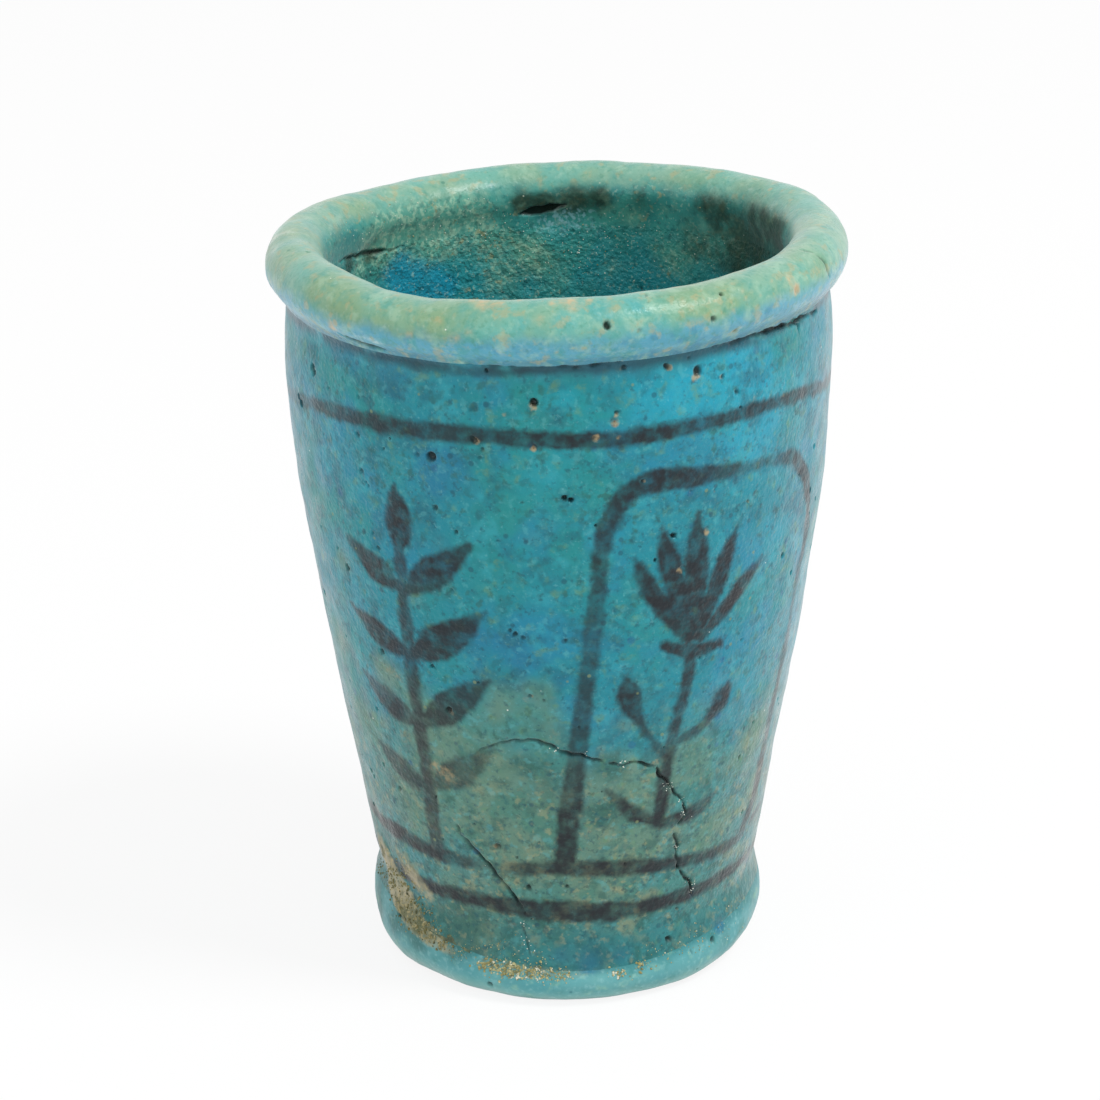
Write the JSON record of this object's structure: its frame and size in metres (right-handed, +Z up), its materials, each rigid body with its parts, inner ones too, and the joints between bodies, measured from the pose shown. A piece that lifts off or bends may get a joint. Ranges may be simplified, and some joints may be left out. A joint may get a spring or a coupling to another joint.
{
  "type": "glazed faience offering cup",
  "caption": "Small tapered beaker of turquoise glazed quartz paste with a rolled pale green lip, a disc foot and dark painted bands.",
  "frame": {"origin": "centre of the flat underside of the foot, on the surface that the cup stands on", "axes": "+Z up along the cup's axis to the mouth, -Y to the front, which the picture shows, and +X to the right seen from the front"},
  "size_m": [0.0454, 0.0454, 0.0603],
  "materials": {
    "quartz_paste": "bare gritty fired quartz paste, matte",
    "paste_slurry": "bare fired paste slurry, matte",
    "turquoise_glaze": "mottled turquoise glaze with dark painted bands, satin, worn",
    "deep_turquoise_glaze": "deep turquoise glaze under a sandy deposit, satin",
    "celadon_glaze": "pale green glaze gone milky, satin",
    "sky_blue_glaze": "thick pale blue glaze, satin",
    "burial_sand": "hard ochre sand crust, matte"
  },
  "bodies": {
    "root": {"body_core": "quartz_paste", "lip_core": "quartz_paste", "foot_core": "quartz_paste", "lip_slurry": "paste_slurry", "foot_slurry": "paste_slurry", "outer_glaze": "turquoise_glaze", "inner_glaze": "deep_turquoise_glaze", "lip_glaze": "celadon_glaze", "foot_glaze": "sky_blue_glaze", "sand_left": "burial_sand", "sand_front": "burial_sand"}
  },
  "joints": []
}
